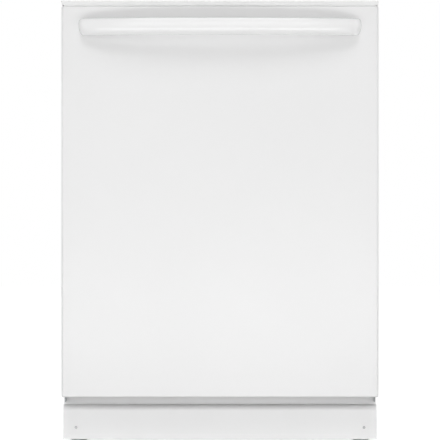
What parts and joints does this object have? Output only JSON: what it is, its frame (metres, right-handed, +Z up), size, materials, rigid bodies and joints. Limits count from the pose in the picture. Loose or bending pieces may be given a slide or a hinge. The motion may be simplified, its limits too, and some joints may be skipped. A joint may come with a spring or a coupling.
{
  "type": "built-in dishwasher",
  "caption": "Built-in dishwasher with a drop-down door, bowed bar handle, top-edge keys, steel tub, two pull-out racks, spray arms and a recessed toe kick.",
  "frame": {"origin": "on the floor under the middle of the overall box", "axes": "+X right seen from the front, the door faces -Y, +Z up"},
  "size_m": [0.6076, 0.666, 0.846],
  "materials": {
    "white_steel": "glossy white enamel",
    "white_plastic": "smooth white moulding",
    "grey_key": "soft-touch grey",
    "dark_lens": "smoked window",
    "green_board": "resin laminate",
    "light_plastic": "pale grey moulding",
    "grey_plastic": "grey moulding",
    "dark_plastic": "dark moulding",
    "stainless": "brushed",
    "zinc_steel": "zinc plated",
    "screw_steel": "plated",
    "black_rubber": "extruded",
    "grey_rubber": "moulded hose",
    "felt": "pressed fibre",
    "rack_nylon": "nylon-coated wire",
    "motor_black": "black enamel",
    "spring_steel": "oil-tempered wire",
    "element_steel": "heat-tinted sheath"
  },
  "bodies": {
    "cabinet": {"access_panel": "white_steel", "base_frame": "zinc_steel", "door_springs": "spring_steel", "drain_hose": "grey_rubber", "drain_pump": "dark_plastic", "fill_chute": "light_plastic", "filter_screen": "stainless", "heating_element": "element_steel", "hinge_brackets": "zinc_steel", "inlet_valve": "light_plastic", "insulation_blanket": "felt", "junction_box": "zinc_steel", "latch_strike": "zinc_steel", "mounting_brackets": "zinc_steel", "rail_guides": "grey_plastic", "spray_manifold": "light_plastic", "sump": "dark_plastic", "toe_kick": "white_steel", "toe_kick_screws": "screw_steel", "tub_floor": "stainless", "tub_gasket": "black_rubber", "tub_shell": "stainless", "wash_motor": "motor_black"},
    "door": {"door_outer_panel": "white_steel", "door_inner_panel": "stainless", "console_shell": "white_plastic", "console_display_lens": "dark_lens", "control_board": "green_board", "latch_housing": "dark_plastic", "handle_bar": "white_steel", "door_screws": "screw_steel", "dispenser_body": "light_plastic", "vent_housing": "light_plastic", "hinge_arms": "zinc_steel", "door_bottom_seal": "black_rubber"},
    "key_cycle": {"button_cycle": "grey_key"},
    "key_options": {"button_options": "grey_key"},
    "key_delay": {"button_delay": "grey_key"},
    "key_start": {"button_start": "grey_key"},
    "latch": {"latch_hook": "light_plastic"},
    "detergent_lid": {"dispenser_lid": "grey_plastic"},
    "rinse_cap": {"rinse_aid_cap": "grey_plastic"},
    "leg_front_left": {"levelling_leg_front_left": "zinc_steel"},
    "leg_front_right": {"levelling_leg_front_right": "zinc_steel"},
    "legs_rear": {"levelling_legs_rear": "zinc_steel"},
    "spring_draw_rods": {"spring_links": "zinc_steel"},
    "filter": {"filter_cup": "grey_plastic"},
    "impeller": {"wash_impeller": "light_plastic"},
    "float": {"float_cap": "light_plastic"},
    "lower_arm": {"lower_spray_arm": "light_plastic"},
    "rack_lower": {"lower_rack": "rack_nylon"},
    "basket": {"silverware_basket": "grey_plastic"},
    "wheels_front": {"lower_rack_wheels_front": "grey_plastic"},
    "wheels_rear": {"lower_rack_wheels_rear": "grey_plastic"},
    "rack_upper": {"upper_rack": "rack_nylon", "upper_rack_fittings": "grey_plastic"},
    "rails": {"upper_slide_rails": "stainless"},
    "upper_arm": {"upper_spray_arm": "light_plastic"},
    "shelf_right": {"cup_shelf_right": "rack_nylon"},
    "shelf_left": {"cup_shelf_left": "rack_nylon"}
  },
  "joints": [
    {"name": "door_hinge", "type": "hinge", "parent": "cabinet", "child": "door", "pos_m": [0, -0.262, 0.115], "axis": [1, 0, 0], "range_deg": [0, 90], "stiffness_Nm_per_rad": 16},
    {"name": "spring_draw", "type": "slide", "parent": "cabinet", "child": "spring_draw_rods", "axis": [0, -1, 0], "range_m": [0, 0.0372], "deforming": ["door_springs"]},
    {"name": "rack_lower_slide", "type": "slide", "parent": "cabinet", "child": "rack_lower", "axis": [0, -1, 0], "range_m": [0, 0.2019]},
    {"name": "rack_upper_slide", "type": "slide", "parent": "cabinet", "child": "rack_upper", "axis": [0, -1, 0], "range_m": [0, 0.4563]},
    {"name": "rails_slide", "type": "slide", "parent": "cabinet", "child": "rails", "axis": [0, -1, 0], "range_m": [0, 0.2286]},
    {"name": "wheels_front_roll", "type": "hinge", "parent": "rack_lower", "child": "wheels_front", "pos_m": [0, -0.05, 0.1728], "axis": [1, 0, 0], "range_deg": [0, 679.6]},
    {"name": "wheels_rear_roll", "type": "hinge", "parent": "rack_lower", "child": "wheels_rear", "pos_m": [0, 0.2, 0.1728], "axis": [1, 0, 0], "range_deg": [0, 679.6]},
    {"name": "lower_arm_spin", "type": "hinge", "parent": "cabinet", "child": "lower_arm", "pos_m": [0, 0.03, 0.168], "axis": [0, 0, 1], "continuous": true},
    {"name": "upper_arm_spin", "type": "hinge", "parent": "rack_upper", "child": "upper_arm", "pos_m": [0, 0.035, 0.43], "axis": [0, 0, 1], "continuous": true},
    {"name": "impeller_spin", "type": "hinge", "parent": "cabinet", "child": "impeller", "pos_m": [0.14, 0.03, 0.08], "axis": [1, 0, 0], "continuous": true},
    {"name": "filter_twist", "type": "hinge", "parent": "cabinet", "child": "filter", "pos_m": [0.058, -0.006, 0.12], "axis": [0, 0, 1], "range_deg": [0, 60]},
    {"name": "float_lift", "type": "slide", "parent": "cabinet", "child": "float", "axis": [0, 0, 1], "range_m": [0, 0.012]},
    {"name": "basket_lift", "type": "slide", "parent": "rack_lower", "child": "basket", "axis": [0, 0, 1], "range_m": [0, 0.04]},
    {"name": "shelf_right_fold", "type": "hinge", "parent": "rack_upper", "child": "shelf_right", "pos_m": [0.236, 0.03, 0.545], "axis": [0, 1, 0], "range_deg": [0, 82]},
    {"name": "shelf_left_fold", "type": "hinge", "parent": "rack_upper", "child": "shelf_left", "pos_m": [-0.236, 0.03, 0.545], "axis": [0, -1, 0], "range_deg": [0, 82]},
    {"name": "latch_pivot", "type": "hinge", "parent": "door", "child": "latch", "pos_m": [0, -0.241, 0.812], "axis": [1, 0, 0], "range_deg": [0, 14], "stiffness_Nm_per_rad": 0.4},
    {"name": "detergent_lid_slide", "type": "slide", "parent": "door", "child": "detergent_lid", "axis": [1, 0, 0], "range_m": [0, 0.06]},
    {"name": "rinse_cap_turn", "type": "hinge", "parent": "door", "child": "rinse_cap", "pos_m": [0.066, -0.223, 0.448], "axis": [0, 1, 0], "range_deg": [0, 90]},
    {"name": "leg_front_left_screw", "type": "slide", "parent": "cabinet", "child": "leg_front_left", "axis": [0, 0, -1], "range_m": [0, 0.045]},
    {"name": "leg_front_right_screw", "type": "slide", "parent": "cabinet", "child": "leg_front_right", "axis": [0, 0, -1], "range_m": [0, 0.045]},
    {"name": "legs_rear_screw", "type": "slide", "parent": "cabinet", "child": "legs_rear", "axis": [0, 0, -1], "range_m": [0, 0.045]},
    {"name": "key_cycle_press", "type": "slide", "parent": "door", "child": "key_cycle", "axis": [0, 0, -1], "range_m": [0, 0.001], "stiffness_N_per_m": 1500},
    {"name": "key_options_press", "type": "slide", "parent": "door", "child": "key_options", "axis": [0, 0, -1], "range_m": [0, 0.001], "stiffness_N_per_m": 1500},
    {"name": "key_delay_press", "type": "slide", "parent": "door", "child": "key_delay", "axis": [0, 0, -1], "range_m": [0, 0.001], "stiffness_N_per_m": 1500},
    {"name": "key_start_press", "type": "slide", "parent": "door", "child": "key_start", "axis": [0, 0, -1], "range_m": [0, 0.001], "stiffness_N_per_m": 1500}
  ],
  "couplings": [
    {"joint": "spring_draw", "follows": "door_hinge", "m_per_rad": 0.02343},
    {"joint": "rack_lower_slide", "follows": "door_hinge", "m_per_rad": 0.128},
    {"joint": "rack_upper_slide", "follows": "door_hinge", "m_per_rad": 0.29},
    {"joint": "rails_slide", "follows": "door_hinge", "m_per_rad": 0.145},
    {"joint": "wheels_front_roll", "follows": "door_hinge", "ratio": 7.5294},
    {"joint": "wheels_rear_roll", "follows": "door_hinge", "ratio": 7.5294}
  ]
}
